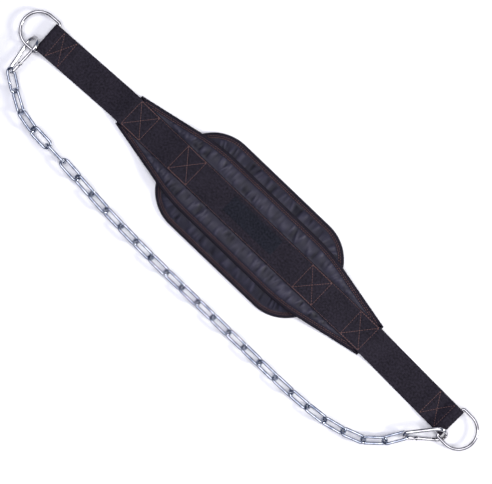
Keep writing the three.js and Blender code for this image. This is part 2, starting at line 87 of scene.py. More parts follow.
RING_WIRE = 5.0
RING_SLACK = 2.0
RING_HALF_WIDTH = (WEBBING_WIDTH + RING_SLACK + RING_WIRE) / 2
RING_SIDE = 18.0
RING_CORNER = 3.4
RING_PITCH = {"left": 0.5, "right": 1.0}
RING_HEIGHT = {"left": 9.95, "right": 11.0}
RING_TURN = {"left": 182.5, "right": -1.65}
LOOP_RADIUS = RING_WIRE / 2 + CLEARANCE + WEBBING_THICKNESS / 2

HOOK_WIRE = 6.0
HOOK_LENGTH = 70.0
HOOK_WIDE = 13.5
HOOK_NARROW = 6.8
GATE_WIRE = 5.2
GATE_LENGTH = 27.5
GATE_PIVOT = 22.5
NOSE_GAP = 0.55
TONGUE_THICKNESS = 2.1
RIVET = 2.4
RIVET_STANDS_OUT = 0.8
RIVET_DOME = 0.35
HOOK_PLACE = {
    "left": {"from_bar": (-6.15, -78.8), "height": 14.3,
             "heading": 95.4, "pitch": 0.1, "roll": -53.0},
    "right": {"from_bar": (-38.85, -64.66), "height": 12.9,
              "heading": 45.1, "pitch": 0.8, "roll": 49.5},
}

LINK_WIRE = 4.5
LINK_WIDTH = 18.3
LINK_COUNT = 26

# Sewing: lengths of the stitches and the lines that they follow
STITCH = 3.4
STITCH_PITCH = 4.0
STITCH_ARCH = 0.32
STITCH_SINK = 0.2
SEAM_DIP = 0.35
SEAM_REACH = 1.6
BOX_THREAD = 0.48
ROW_THREAD = 0.3
# Rows of stitches on the tape: [distance from the rim, thickness of the thread]
TAPE_ROWS = [(5.1, 0.42), (7.7, 0.5)]
STRAP_ROW = 23.2
BOX_HALF_WIDTH = 22.6
STRAP_BOXES = [(-245, -208), (-147.8, -111), (109.5, 149.3), (210, 246.8)]
RING_BOXES = [(-398.2, -374), (379, 408.6)]

# Cloth of the covers: spacing and height of its gathers, how much longer and wider it is cut than
# the shape that it covers, and how far it may move and rise
PANEL_PUCKERS = 3.7
PAD_PUCKERS = 4.4
PUCKER_HEIGHT = 3.3
SPARE_LENGTH = 1.05
SPARE_WIDTH = 1.02
MOST_MOVE = 3.2
PANEL_CEILING = 10.5

# The bare patch on the webbing's middle
PATCH_X = (-45.5, 53.0)
PATCH_Y = (-11.2, 17.2)
PATCH_THICKNESS = 0.45
PATCH_EDGE = 0.9

# Flats, tongues and slots at the gate's two ends
TONGUE_NARROWER = 0.8
TONGUE_ROOT = 1.5
NOSE_TONGUE = 6.0
NOSE_SLOT = 5.5

# The butt weld on each link: its place along the side, how far it swells, and the waist beside it
WELD_PLACE = 1.5
WELD_SWELL, WELD_REACH = 0.1, 1.4
WAIST_DEPTH, WAIST_PLACE, WAIST_REACH = 0.05, 2.4, 0.9

# The photograph's frame
PICTURE_WIDTH = 492
MM_PER_PIXEL = 1.5

rng = np.random.default_rng(11)


# Meshes


def outward(points, faces):
    """The faces turned outwards. Sixfold volume is the sum of corner . (corner x corner) over each
    quad's two triangles, and a negative one means that the shape is inside out."""
    a, b, c, d = (points[faces[:, k]] for k in range(4))
    volume = np.einsum("ij,ij->", a, np.cross(b, c)) + np.einsum("ij,ij->", a, np.cross(c, d))
    return faces if volume > 0 else faces[:, ::-1]


def grid_faces(rows, columns, rows_close=False, columns_close=True):
    """Quads between neighbouring rows and columns of a grid, numbered row by row."""
    i = np.arange(rows if rows_close else rows - 1)
    j = np.arange(columns if columns_close else columns - 1)
    i, j = (k.ravel() for k in np.meshgrid(i, j, indexing="ij"))
    after_i, after_j = (i + 1) % rows, (j + 1) % columns
    row, next_row = i * columns, after_i * columns
    return np.stack([row + j, next_row + j, next_row + after_j, row + after_j], axis=1)


def every_pair(along, across):
    """Every place along with every place across, row by row."""
    return np.stack(np.meshgrid(along, across, indexing="ij"), axis=2).reshape(-1, 2)


def in_scene(name, data):
    """A new object in the scene."""
    obj = bpy.data.objects.new(name, data)
    bpy.context.scene.collection.objects.link(obj)
    return obj


def mesh_object(name, points, faces):
    """A plain object from points in millimetres."""
    mesh = bpy.data.meshes.new(name)
    faces = faces.tolist() if isinstance(faces, np.ndarray) else faces
    mesh.from_pydata((np.asarray(points) * MM).tolist(), [], faces)
    return in_scene(name, mesh)


def piece(name, points, faces, material, body="belt", replaced=(),
          uv=None, painted_fold_light=None, crease=60):
    """A finished piece from points in millimetres. Doubled points are merged, so poles and seams
    close. uv gives each point's place on the cloth, along and across. The painted fold light is 0
    in the valleys of its folds and 1 on their crests; the cloth's material paints shade into the
    valleys and highlights onto the crests from it."""
    obj = mesh_object(name, points, faces)
    mesh = obj.data
    if uv is not None:
        layer = mesh.uv_layers.new(name="lie")
        corners = np.empty(len(mesh.loops), dtype=np.int32)
        mesh.loops.foreach_get("vertex_index", corners)
        layer.data.foreach_set("uv", (uv[corners] * MM).ravel())
    # The fold share is stored on the points, for the cloth's material to paint shade into the
    # valleys and highlights onto the crests.
    if painted_fold_light is not None:
        crests = mesh.attributes.new("painted_fold_light", "FLOAT", "POINT").data
        crests.foreach_set("value", painted_fold_light.astype(np.float32))
    close_seams(obj)
    return dressed(obj, material, body, replaced, crease)


def dressed(obj, material, body, replaced, crease):
    """Smooths a piece but for edges sharper than crease degrees, and ties it to its material, its
    body, its finish and the solids that it stands for."""
    mesh = obj.data
    mesh.polygons.foreach_set("use_smooth", np.ones(len(mesh.polygons), dtype=bool))
    mesh.set_sharp_from_angle(angle=math.radians(crease))
    mesh.materials.clear()
    mesh.materials.append(material)
    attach(obj, body)
    if replaced:
        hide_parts(*replaced)
    return obj


def close_seams(obj):
    """Points closer than a hundredth of a millimetre become one."""
    sheet = bmesh.new()
    sheet.from_mesh(obj.data)
    bmesh.ops.remove_doubles(sheet, verts=sheet.verts, dist=0.01 * MM)
    sheet.to_mesh(obj.data)
    sheet.free()


def slab_faces(rows, columns):
    """Faces of a closed body: a grid above, the same grid below it, and a wall round both."""
    above = grid_faces(rows, columns, columns_close=False)
    below = above[:, ::-1] + rows * columns
    index = np.arange(rows * columns).reshape(rows, columns)
    round_it = np.concatenate([index[0, :-1], index[:-1, -1], index[-1, :0:-1], index[:0:-1, 0]])
    after = np.roll(round_it, -1)
    wall = np.stack([round_it, after, after + rows * columns, round_it + rows * columns], axis=1)
    return np.concatenate([above, below, wall[:, ::-1]])


# Wires


def turned(axis, degrees):
    """Matrix of a turn about X, Y or Z, given as 0, 1 or 2."""
    a, b = (axis + 1) % 3, (axis + 2) % 3
    turn = np.eye(3)
    turn[a, a] = turn[b, b] = math.cos(math.radians(degrees))
    turn[b, a] = math.sin(math.radians(degrees))
    turn[a, b] = -turn[b, a]
    return turn


def arc(x, y, radius, start, end, step=2.0):
    """Points on a circle in the XY plane, no more than about step millimetres apart."""
    count = max(3, int(abs(end - start) * radius / step) + 1)
    angle = np.linspace(start, end, count)
    return np.stack([x + radius * np.cos(angle), y + radius * np.sin(angle)], axis=1)


def run_along(line):
    """A line's length up to each of its points."""
    return np.concatenate([[0], np.cumsum(np.linalg.norm(np.diff(line, axis=0), axis=1))])


def evenly(line, step, closed=False):
    """The same line with points at even steps of its length."""
    if closed:
        line = np.vstack([line, line[:1]])
    run = run_along(line)
    count = max(3, int(round(run[-1] / step)) + 1)
    at = np.linspace(0, run[-1], count)
    even = np.stack([np.interp(at, run, line[:, k]) for k in range(line.shape[1])], axis=1)
    return even[:-1] if closed else even


def directions(line, closed=False):
    """Unit direction of a line at each of its points, from its two neighbours."""
    if closed:
        along = np.roll(line, -1, axis=0) - np.roll(line, 1, axis=0)
    else:
        along = np.gradient(line, axis=0)
    return along / np.linalg.norm(along, axis=1, keepdims=True)


def bent_wire(line, radius, sides=20, closed=True, swell=1.0):
    """Points and faces of wire bent in the XY plane. At each point of the line a circle stands
    square to it: across = (direction y, -direction x), point = line + radius (across cos + up sin).
    An open wire ends in flat faces with a small bevel."""
    along = directions(line, closed)
    girth = radius * swell * np.ones(len(line))
    if not closed:
        bevel = 0.45
        first, last = line[0] + along[0] * bevel, line[-1] - along[-1] * bevel
        line = np.vstack([line[:1], line[:1], first, line[1:-1], last, line[-1:], line[-1:]])
        along = np.vstack([along[:1], along[:1], along, along[-1:], along[-1:]])
        ends = np.array([0.0, radius - bevel])
        girth = np.concatenate([ends, girth, ends[::-1]])
    across = np.stack([along[:, 1], -along[:, 0]], axis=1)
    angle = np.linspace(0, 2 * math.pi, sides, endpoint=False)
    flat = line[:, None, :] + across[:, None, :] * (girth[:, None] * np.cos(angle))[:, :, None]
    height = girth[:, None] * np.sin(angle)
    points = np.concatenate([flat, height[:, :, None]], axis=2).reshape(-1, 3)
    return points, outward(points, grid_faces(len(line), sides, rows_close=closed))


# The belt's levels and outlines


def fall(t):
    """Eases from 1 to 0 as t goes from 0 to 1: half a cosine."""
    return 0.5 * (1 + np.cos(math.pi * np.clip(t, 0, 1)))


def smooth_step(t):
    """Eases from 0 to 1 as t goes from 0 to 1: 3 t squared less 2 t cubed."""
    t = np.clip(t, 0, 1)
    return t * t * (3 - 2 * t)


def panel_level(x):
    """Height that the front panel lies at: over the pad, and then down to the table."""
    raised = PAD_CROWN + LAYER_GAP
    return CLEARANCE + (raised - CLEARANCE) * fall((np.abs(x) - END_SLOPE_START) / END_SLOPE_LENGTH)


def into_shoulder(x):
    """How far a place along the belt is into the panel's shoulder, where the taper eases out."""
    return np.clip(PANEL_LENGTH / 2 - np.abs(x) - PANEL_TAPER, 0, PANEL_SHOULDER)


def panel_half_width(x):
    """Half the front panel's width: straight tapers, eased by a parabola into the full width."""
    shoulder = into_shoulder(x)
    eased = shoulder - shoulder**2 / (2 * PANEL_SHOULDER)
    taper = np.minimum(PANEL_LENGTH / 2 - np.abs(x), PANEL_TAPER)
    return PANEL_END_WIDTH / 2 + PANEL_SLOPE * (taper + eased)


def edge_stretch(x):
    """How much longer a distance square to the panel's edge is when it is taken across the belt."""
    return np.hypot(1, PANEL_SLOPE * (1 - into_shoulder(x) / PANEL_SHOULDER))


def panel_inset(x, distance):
    """Half the width between two lines inside the panel's edges, at a distance square to them."""
    return panel_half_width(x) - distance * edge_stretch(x)


CORNER_POINTS, LONG_POINTS, SHORT_POINTS = 54, 88, 13
PAD_POINTS = 4 * CORNER_POINTS + 2 * LONG_POINTS + 2 * SHORT_POINTS


def pad_outline(inset):
    """The back pad's outline drawn in by a distance: four quarter circles joined by straight lines.
    Every inset has the same number of points, taken at the same shares of each quarter and side."""
    x, y = PAD_LENGTH / 2 - PAD_CORNER, PAD_WIDTH / 2 - PAD_CORNER
    radius = PAD_CORNER - inset
    line = []
    for turn, (cx, cy) in enumerate([(x, y), (-x, y), (-x, -y), (x, -y)]):
        angle = math.pi / 2 * (turn + np.linspace(0, 1, CORNER_POINTS))
        curve = np.stack([cx + radius * np.cos(angle), cy + radius * np.sin(angle)], axis=1)
        next_corner = np.array([(-x, y), (-x, -y), (x, -y), (x, y)][turn])
        out = np.array([(0, 1), (-1, 0), (0, -1), (1, 0)][turn]) * radius
        share = np.linspace(0, 1, (SHORT_POINTS if turn % 2 else LONG_POINTS) + 2)[1:-1, None]
        line += [curve, (np.array([cx, cy]) + out) * (1 - share) + (next_corner + out) * share]
    return np.vstack(line)


# Finishes


def linear(hex_colour):
    """An sRGB hex colour as linear red, green, blue and alpha."""
    parts = [int(hex_colour[i:i + 2], 16) / 255 for i in (1, 3, 5)]
    return [p / 12.92 if p <= 0.04045 else ((p + 0.055) / 1.055) ** 2.4 for p in parts] + [1.0]


def add(tree, kind, inputs=None, **settings):
    """Adds one node. Each input is a value or another node's output."""
    node = tree.nodes.new("ShaderNode" + kind)
    for key, value in settings.items():
        setattr(node, key, value)
    for key, value in (inputs or {}).items():
        if isinstance(value, bpy.types.NodeSocket):
            tree.links.new(value, node.inputs[key])
        else:
            node.inputs[key].default_value = value
    return node


def finish_of(name, **surface):
    """An empty material with its Principled shader, set from plain values."""
    material = bpy.data.materials.new(name)
    material.use_nodes = True
    tree = material.node_tree
    shader = tree.nodes["Principled BSDF"]
    for key, value in surface.items():
        shader.inputs[key.replace("_", " ")].default_value = value
    return material, tree, shader


def waves(tree, place, direction, period_mm, distortion=0.0):
    """Sine bands across a direction. A band repeats every 2 pi / 20 / scale metres."""
    inputs = {"Vector": place, "Scale": 0.1 * math.pi / (period_mm * MM), "Distortion": distortion}
    return add(tree, "TexWave", inputs, bands_direction=direction).outputs["Fac"]


def tinted(tree, shader, tone, dark, light):
    """Colours a surface from a dark to a light shade as its tone goes from 0 to 1."""
    shade = add(tree, "Mix", {0: tone, 6: linear(dark), 7: linear(light)}, data_type="RGBA")
    tree.links.new(shade.outputs[2], shader.inputs["Base Color"])


def total(tree, offset, *terms):
    """An offset plus some patterns, each times its weight."""
    result = offset
    for pattern, weight in terms:
        inputs = {0: pattern, 1: weight, 2: result}
        result = add(tree, "Math", inputs, operation="MULTIPLY_ADD").outputs[0]
    return result


def bumped(tree, shader, height, strength, depth_mm):
    """Raises the surface by a pattern, without moving it."""
    bump = add(tree, "Bump", {"Height": height, "Strength": strength, "Distance": depth_mm * MM})
    tree.links.new(bump.outputs["Normal"], shader.inputs["Normal"])


def cloud(tree, place, size_mm, detail=4.0):
    """Soft random patches of about a size."""
    inputs = {"Vector": place, "Scale": 1 / (size_mm * MM), "Detail": detail}
    return add(tree, "TexNoise", inputs).outputs["Fac"]


def woven(tree, place, along_mm, across_mm):
    """Plain weave: bands along and across, multiplied, so that each crossing stands up."""
    return total(tree, 0.0, (waves(tree, place, "X", along_mm), waves(tree, place, "Y", across_mm)))


def webbing_finish(name, dark, light, rib_mm):
    """Heavy polypropylene webbing: fat matt yarns in a fine rib, near black with a violet cast."""
    # Yarns of such webbing lie 0.9 mm apart, and are drawn wider so that the render shows them.
    material, tree, shader = finish_of(name, Roughness=0.8, Specular_IOR_Level=0.1)
    place = add(tree, "UVMap", uv_map="lie").outputs["UV"]
    weave = woven(tree, place, 0.8 * rib_mm, rib_mm)
    # Wear lies in patches of 33 mm, and lint and uneven yarns make a grain of about 3 mm.
    worn, grain = cloud(tree, place, 33), cloud(tree, place, 3, 2.0)
    tone = total(tree, -1.056, (weave, 0.45), (worn, 0.7), (grain, 2.4))
    tinted(tree, shader, tone, dark, light)
    bumped(tree, shader, weave, 0.5, 0.35)
    return material


def nylon_finish(name, dark, light):
    """Satin nylon cloth, plain woven: smooth filament yarns, which catch the light on each fold.
    Its colour also holds painted shade in the valleys of the folds and painted highlights on their
    crests.
    """
    # Its threads lie 0.4 mm apart, and are drawn at 1.3 mm so that the render shows a grain.
    material, tree, shader = finish_of(name, Roughness=0.44, Specular_IOR_Level=0.14)
    place = add(tree, "TexCoord").outputs["Object"]
    weave = woven(tree, place, 1.3, 1.3)
    # Painted light of the folds: darker in their valleys as painted shade, lighter on their crests
    # as painted highlights.
    crests = add(tree, "Attribute", attribute_name="painted_fold_light").outputs["Fac"]
    tone = total(tree, -0.15, (weave, 0.15), (cloud(tree, place, 45, 5.0), 0.3), (crests, 0.7))
    tinted(tree, shader, tone, dark, light)
    crumple = total(tree, 0.0, (weave, 0.12), (cloud(tree, place, 7, 3.0), 1.0))
    bumped(tree, shader, crumple, 0.5, 0.6)
    return material


def tape_finish():
    """Grosgrain binding tape: ribs straight across the tape, matt and almost black."""
    material, tree, shader = finish_of("grosgrain binding tape", Roughness=0.8,
                                       Specular_IOR_Level=0.08)
    place = add(tree, "UVMap", uv_map="lie").outputs["UV"]
    ribs = waves(tree, place, "X", 1.5)
    tone = total(tree, 0.0, (ribs, 0.4), (cloud(tree, place, 17, 3.0), 0.5))
    tinted(tree, shader, tone, "#121017", "#2a2631")
    bumped(tree, shader, ribs, 0.5, 0.25)
    return material


def thread_finish():
    """Bonded polyester sewing thread: dull copper, lighter and darker in soft random patches."""
    material, tree, shader = finish_of("copper sewing thread", Roughness=0.7,
                                       Specular_IOR_Level=0.2)
    place = add(tree, "TexCoord").outputs["Object"]
    tinted(tree, shader, cloud(tree, place, 7, 2.0), "#6b4a47", "#906e68")
    return material


def metal_finish(name, dark, light, roughness, patch_mm):
    """Plated steel wire: bright, mottled where the plating is thin, with a hammered skin."""
    material, tree, shader = finish_of(name, Metallic=1.0)
    place = add(tree, "TexCoord").outputs["Object"]
    patches = cloud(tree, place, patch_mm, 3.0)
    tinted(tree, shader, total(tree, -0.6, (patches, 2.2)), dark, light)
    tree.links.new(total(tree, roughness - 0.08, (patches, 0.15)), shader.inputs["Roughness"])
    bumped(tree, shader, cloud(tree, place, 0.3 * patch_mm, 3.0), 0.3, 0.2)
    return material


WEBBING = webbing_finish("woven polypropylene webbing", "#121016", "#2c2832", 2.0)
PATCH = webbing_finish("fine woven ribbon of the patch", "#0d0e15", "#24252f", 1.4)
PANEL_CLOTH = nylon_finish("satin nylon of the panel", "#121118", "#454353")
PAD_CLOTH = nylon_finish("satin nylon of the pad", "#100f16", "#3f3d4d")
TAPE = tape_finish()
COPPER_THREAD = thread_finish()
NICKEL = metal_finish("nickel plated steel", "#a3a1a4", "#e5e4e4", 0.13, 14.0)
# The rings' nickel is the hooks' nickel painted darker: painted shade standing in for the dark
# reflections along the rings' wire.
SHADED_RING_NICKEL = metal_finish("nickel plate of the rings painted darker as shade", "#79777b", "#bbbabd", 0.12, 14.0)
ZINC = metal_finish("bright zinc plated steel", "#737c8f", "#c6cad5", 0.15, 8.0)
RIVET_STEEL = metal_finish("dull steel of the rivets", "#1e1e22", "#45454b", 0.4, 3.0)


# Cloth


def settled(points, faces, cut, held, pressure, frames=12):
    """Where a sewn cloth comes to rest. points are the drawn shape, cut the larger shape that the
    cloth was cut to, and held is 1 where stitches or a weight hold it. All are in millimetres."""
    obj = mesh_object("cloth", points, faces)
    obj.shape_key_add(name="Basis")
    key = obj.shape_key_add(name="cut")
    key.data.foreach_set("co", (cut * MM).ravel())
    group = obj.vertex_groups.new(name="held")
    levels = np.round(held * 20).astype(int)
    for level in range(1, 21):
        group.add(np.nonzero(levels == level)[0].tolist(), level / 20, "REPLACE")
    cloth = obj.modifiers.new("cloth", "CLOTH")
    settings = cloth.settings
    settings.quality = 6
    settings.mass = 0.15
    settings.tension_stiffness = settings.compression_stiffness = 25
    settings.shear_stiffness = 8
    settings.bending_stiffness = 0.02
    settings.vertex_group_mass = "held"
    settings.rest_shape_key = key
    settings.use_pressure = True
    settings.uniform_pressure_force = pressure
    settings.effector_weights.gravity = 0
    cloth.collision_settings.use_collision = False
    cloth.point_cache.frame_start, cloth.point_cache.frame_end = 1, frames
    for number in range(1, frames + 1):
        bpy.context.scene.frame_set(number)
    shape = obj.evaluated_get(bpy.context.evaluated_depsgraph_get()).data
    result = np.empty(len(points) * 3)
    shape.vertices.foreach_get("co", result)
    bpy.data.objects.remove(obj)
    bpy.context.scene.frame_set(1)
    return result.reshape(-1, 3) / MM


def capped(start, end, limit):
    """Moves kept to a limit: each move is shortened as limit times tanh(length / limit)."""
    move = end - start
    length = np.linalg.norm(move, axis=1, keepdims=True) + 1e-9
    return start + move / length * limit * np.tanh(length / limit)


def gathers(along, across, spacing):
    """Height of the small folds that a gathered cloth starts with. Each fold is a bell curve of the
    distance along the seam, leans a little, and fades across the channel from one of its seams."""
    count = int(np.ptp(along) / spacing)
    at = np.min(along) + (np.arange(count) + rng.uniform(0.1, 0.9, count)) * spacing
    lean = rng.normal(0, 0.16, count)
    breadth = rng.uniform(1.2, 3.0, count)
    tall = PUCKER_HEIGHT * rng.uniform(0.0, 1.0, count) * rng.choice([1.0, 1.0, -0.6], count)
    seam = rng.choice([0.0, 1.0], count)
    reach = rng.uniform(0.6, 1.6, count)
    height = np.zeros(along.shape)
    for k in range(count):
        share = np.abs(across - seam[k])
        bell = np.exp(-(((along - at[k] - lean[k] * 18 * (across - 0.5)) / breadth[k]) ** 2))
        height += tall[k] * bell * fall(share / reach[k])
    return height


def crest_share(height):
    """0 in the valleys of the folds, 0.5 where the cloth lies as drawn, and 1 on the crests. The
    cloth's material paints shade where it is low and highlights where it is high.
    """
    return 0.5 + 0.5 * np.tanh(height / 1.2)


def front_panel():
    """The panel's cover. Rows run along the belt, columns across it. The top is the panel's level
    plus the rim's height, pressed flat under the webbing, and half a sine over each channel. Each
    channel's cloth is cut longer than the panel and gathers as it is sewn down."""
    half = PANEL_LENGTH / 2 - WRAP
    x = np.linspace(-half, half, 361)
    inner = panel_inset(x, TAPE_LIP + WRAP)
    lip = panel_inset(x, TAPE_LIP)
    rim = panel_inset(x, WRAP)
    start = np.minimum(WEBBING_WIDTH / 2 + CHANNEL_FROM_STRAP, inner - LAYER_GAP)
    one_side = np.column_stack([
        start[:, None] * np.linspace(0, 1, 5)[:-1],
        start[:, None] + (inner - start)[:, None] * np.linspace(0, 1, 15),
        lip,
        (lip + rim) / 2,
        rim,
    ])
    y = np.concatenate([-one_side[:, :0:-1], one_side], axis=1)
    columns = y.shape[1]
    grid_x = np.repeat(x[:, None], columns, axis=1)
    to_side = (panel_half_width(grid_x) - np.abs(y)) / edge_stretch(grid_x)
    to_edge = np.minimum(to_side, PANEL_LENGTH / 2 - np.abs(grid_x))
    inside = np.clip((to_edge - TAPE_LIP) / WRAP, 0, 1)
    channel_start = WEBBING_WIDTH / 2 + CHANNEL_FROM_STRAP
    channel_width = lip[:, None] - channel_start
    share = np.clip((np.abs(y) - channel_start) / np.maximum(channel_width, 1), 0, 1)
    puff = np.sin(math.pi * share) * np.clip((channel_width - CHANNEL_NARROWEST) / TAPE_WIDTH, 0, 1)
    rim_top = WRAP + RIM
    level = panel_level(grid_x)
    above = level + rim_top + (TAPE_TOP - rim_top + puff * (CHANNEL_HEIGHT - TAPE_TOP)) * inside
    top = np.stack([grid_x, y, above], axis=2).reshape(-1, 3)
    free = ((puff > 0.02) & (inside > 0.99)).ravel()
    loose_share = np.sqrt(np.clip(puff, 0, 1))
    near, far = (gathers(grid_x, share, PANEL_PUCKERS) for _ in range(2))
    folds = np.where(y < 0, near, far)
    shaken = top.copy()
    shaken[:, 2] += (folds * loose_share).ravel() * free
    cut = shaken * [SPARE_LENGTH, 1.0, 1.0]
    faces = grid_faces(len(x), columns, columns_close=False)[:, ::-1]
    rested = shaken
    rested = capped(top, settled(shaken, faces, cut, 1.0 - free, 1.0), MOST_MOVE)
    floor, ceiling = (level + TAPE_TOP - 0.8).ravel(), (level + PANEL_CEILING).ravel()
    rested[:, 2] = np.where(free, np.clip(rested[:, 2], floor, ceiling), top[:, 2])
    beside = np.sign(y.ravel()) * np.maximum(np.abs(rested[:, 1]), WEBBING_WIDTH / 2 + 0.6)
    rested[:, 1] = np.where(free, beside, top[:, 1])
    below = top.copy()
    below[:, 2] = (level + WRAP * (1 - inside)).ravel()
    points = np.vstack([rested, below])
    # The folds' painted light: painted shade in the valleys, painted highlights on the crests.
    painted_fold_light = crest_share(points[:, 2] - np.concatenate([top[:, 2], below[:, 2]]))
    faces = slab_faces(len(x), columns)
    cover = piece("front_panel_cover", points, outward(points, faces), PANEL_CLOTH, "belt",
                  ["front_panel"], painted_fold_light=painted_fold_light, crease=75)
    return cover


def back_pad():
    """The pad's cover: rings drawn in from the rim, from the middle of the underside, out round the
    rim and over the crown, where the height follows a quarter sine from the lip to the full height.
    Its cloth is gathered round the rim, and wrinkles where the panel doesn't press it."""
    rim_top = WRAP + RIM
    flat_insets = (34, 37, 41, 46, 52, 58)
    under = [(flat_insets[-1], 0.0), (PAD_RISE, 0.0), (TAPE_LIP + WRAP + 4, 0.0),
             (TAPE_LIP + WRAP, 0.0), (TAPE_LIP, WRAP), (WRAP, WRAP)]
    share = np.linspace(0, 1, 16)[1:]
    crown_z = rim_top + (PAD_CROWN - rim_top) * np.sin(share * math.pi / 2)
    crown = zip(TAPE_LIP + (PAD_RISE - TAPE_LIP) * share, crown_z)
    over = [(WRAP, rim_top), (TAPE_LIP - 3, rim_top), (TAPE_LIP, rim_top), *crown]
    over += [(inset, PAD_CROWN) for inset in flat_insets]
    insets = np.array([inset for inset, _ in under + over], dtype=float)
    rings = [np.column_stack([pad_outline(inset), np.full(PAD_POINTS, z)])
             for inset, z in under + over]
    spine = rings[-1].copy()
    middle = PAD_CORNER
    spine[:, 0] = np.clip(spine[:, 0], -middle, middle)
    spine[:, 1] = 0
    low_spine = spine * [1, 1, 0]
    points = np.vstack([low_spine, *rings, spine])
    count = len(rings) + 2
    faces = outward(points, grid_faces(count, PAD_POINTS))
    ring_of = np.repeat(np.arange(count), PAD_POINTS)
    first_free = 1 + len(under) + 3
    outside_panel = np.abs(points[:, 1]) - (panel_half_width(points[:, 0]) - 6)
    free = smooth_step(outside_panel / 5) * (ring_of >= first_free) * (ring_of < count - 1)
    along = np.tile(run_along(pad_outline(0.0)), count)
    inset = np.repeat(np.concatenate([[middle], insets, [middle]]), PAD_POINTS)
    folds = gathers(along, np.clip((inset - TAPE_LIP) / (PAD_RISE - TAPE_LIP), 0, 1), PAD_PUCKERS)
    near_seam = smooth_step((inset - TAPE_LIP) / 3)
    shaken = points.copy()
    shaken[:, 2] += folds * free * near_seam
    cut = shaken * [SPARE_LENGTH, SPARE_WIDTH, 1.0]
    rested = shaken
    rested = capped(points, settled(shaken, faces, cut, 1 - free, 1.0), MOST_MOVE)
    rested = points + (rested - points) * (free > 0)[:, None]
    under_panel = np.abs(rested[:, 1]) < panel_half_width(rested[:, 0]) + 1
    roof = np.where(under_panel, panel_level(rested[:, 0]) - LAYER_GAP, 15)
    rested[:, 2] = np.minimum(rested[:, 2], np.maximum(roof, points[:, 2]))
    # The folds' painted light: painted shade in the valleys, painted highlights on the crests.
    painted_fold_light = crest_share(rested[:, 2] - points[:, 2])
    cover = piece("back_pad_cover", rested, faces, PAD_CLOTH, "belt", ["back_pad"],
                  painted_fold_light=painted_fold_light, crease=75)
    return cover


# Binding tape


def tape_section():
    """Folded tape, seen along the rim: two flat sides joined by half a circle round the rim's edge,
    with the same line drawn in by the tape's thickness. Each point is [outwards, up]."""
    half = RIM / 2 + WRAP
    angle = np.linspace(math.pi / 2, -math.pi / 2, 11)
    flat = np.linspace(-TAPE_WIDTH, -half, 5)[:-1]
    outer = np.concatenate([
        np.column_stack([flat, np.full(4, half)]),
        np.column_stack([-half + half * np.cos(angle), half * np.sin(angle)]),
        np.column_stack([flat[::-1], np.full(4, -half)]),
    ])
    inner = half - TAPE_WALL
    inside = np.concatenate([
        np.column_stack([flat, np.full(4, -inner)]),
        np.column_stack([-half + inner * np.cos(angle), -inner * np.sin(angle)]),
        np.column_stack([flat[::-1], np.full(4, inner)]),
    ])
    return np.vstack([outer, inside])


def binding(name, rim, level, node):
    """Tape carried round a closed rim: point = rim + outwards times the section's first number, at
    the level of its own place, raised by the section's second. Outwards is square to the rim."""
    section = tape_section()
    along = directions(rim, closed=True)
    outwards = np.stack([along[:, 1], -along[:, 0]], axis=1)
    before = rim - np.roll(rim, 1, axis=0)
    before /= np.linalg.norm(before, axis=1, keepdims=True)
    mitre = 1 / np.maximum(0.6, np.einsum("ij,ij->i", before, along))
    flat = rim[:, None] + outwards[:, None] * (section[None, :, :1] * mitre[:, None, None])
    height = level(flat[:, :, 0]) + WRAP + RIM / 2 + section[None, :, 1]
    points = np.concatenate([flat, height[:, :, None]], axis=2).reshape(-1, 3)
    uv = every_pair(run_along(rim), run_along(section))
    faces = outward(points, grid_faces(len(rim), len(section), rows_close=True))
    return piece(name, points, faces, TAPE, "belt", [node], uv=uv, crease=50)


def panel_rim():
    """The front panel's outline, anticlockwise."""
    half = PANEL_LENGTH / 2
    x = np.linspace(-half, half, 252)
    near = np.column_stack([x, -panel_half_width(x)])
    end = np.linspace(-PANEL_END_WIDTH / 2, PANEL_END_WIDTH / 2, 14)[1:-1]
    right = np.column_stack([np.full(12, half), end])
    return np.vstack([near, right, near[::-1] * [1, -1], right[::-1] * [-1, 1]])


# Webbing


def strap_stray(x):
    """How far the webbing's middle has strayed from the belt's line: a parabola, then straight."""
    left = x < 0
    begin = PANEL_LENGTH / 2 + np.where(left, STRAP_SKEW_START["left"], STRAP_SKEW_START["right"])
    past = np.maximum(np.abs(x) - begin, 0)
    ease = STRAP_SKEW_EASE
    run = np.where(past < ease, past**2 / (2 * ease), past - ease / 2)
    return -np.where(left, STRAP_SKEW["left"], STRAP_SKEW["right"]) * run


def strap_across(x):
    """Unit direction across the webbing, square to the line that its middle follows."""
    slope = strap_stray(x + 0.5) - strap_stray(x - 0.5)
    across = np.stack([-slope, np.ones_like(slope)], axis=-1)
    return across / np.linalg.norm(across, axis=-1, keepdims=True)


def ring_bar(side):
    """Middle of the D ring's straight bar, which the webbing folds round."""
    sign = -1 if side == "left" else 1
    x = sign * (PANEL_LENGTH / 2 + STRAP_FREE[side] - LOOP_RADIUS - WEBBING_THICKNESS / 2)
    return np.array([x, float(strap_stray(np.array(x))), RING_HEIGHT[side]])


